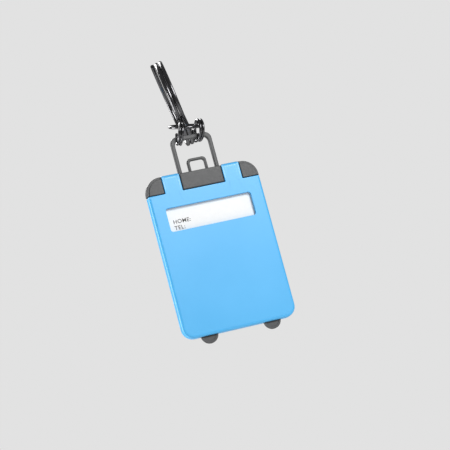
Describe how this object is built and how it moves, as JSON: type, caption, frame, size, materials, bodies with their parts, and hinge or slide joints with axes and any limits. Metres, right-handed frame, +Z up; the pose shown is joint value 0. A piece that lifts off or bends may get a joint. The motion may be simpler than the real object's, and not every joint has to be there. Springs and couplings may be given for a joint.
{
  "type": "luggage tag",
  "caption": "Trolley-case-shaped luggage tag with a blue slide-off sleeve, card window, grey tray and pull handle, hung on double rings and a large split ring.",
  "frame": {"origin": "hang point: the inner top of the split ring, where the suitcase handle carries it", "axes": "+Z up along the tag, +X to the right as the window is read, front face with the window towards -Y"},
  "size_m": [0.052, 0.0444, 0.1333],
  "materials": {
    "sleeve_blue": "light blue ABS with a fine satin texture",
    "trim_grey": "mid grey ABS with a fine matt texture",
    "card_paper": null,
    "ring_steel": "black nickel plated spring steel, polished"
  },
  "bodies": {
    "split_ring": {"split_ring": "ring_steel"},
    "link_ring": {"link_ring": "ring_steel"},
    "left_bar_ring": {"bar_ring_left": "ring_steel"},
    "right_bar_ring": {"bar_ring_right": "ring_steel"},
    "tray": {"slider_tray": "trim_grey", "pull_handle": "trim_grey", "address_card": "card_paper", "wheel_left": "trim_grey", "wheel_right": "trim_grey"},
    "sleeve": {"sleeve_front": "sleeve_blue", "sleeve_back": "sleeve_blue"}
  },
  "joints": [
    {"name": "link_swing", "type": "hinge", "parent": "split_ring", "child": "link_ring", "pos_m": [0.00113, -0.01339, -0.03299], "axis": [1, 0, 0], "range_deg": [-15, 20]},
    {"name": "left_ring_swing", "type": "hinge", "parent": "link_ring", "child": "left_bar_ring", "pos_m": [0.00084, -0.01985, -0.0353], "axis": [1, 0, 0], "range_deg": [-10, 10]},
    {"name": "right_ring_swing", "type": "hinge", "parent": "link_ring", "child": "right_bar_ring", "pos_m": [0.00084, -0.01985, -0.0353], "axis": [1, 0, 0], "range_deg": [-10, 10]},
    {"name": "tag_swing", "type": "hinge", "parent": "left_bar_ring", "child": "tray", "pos_m": [-0.00006, -0.01985, -0.03988], "axis": [1, 0, 0], "range_deg": [-60, 45]},
    {"name": "sleeve_slide", "type": "slide", "parent": "tray", "child": "sleeve", "axis": [0, 0, -1], "range_m": [0, 0.05]}
  ],
  "couplings": [
    {"joint": "right_ring_swing", "follows": "left_ring_swing", "ratio": 1}
  ]
}
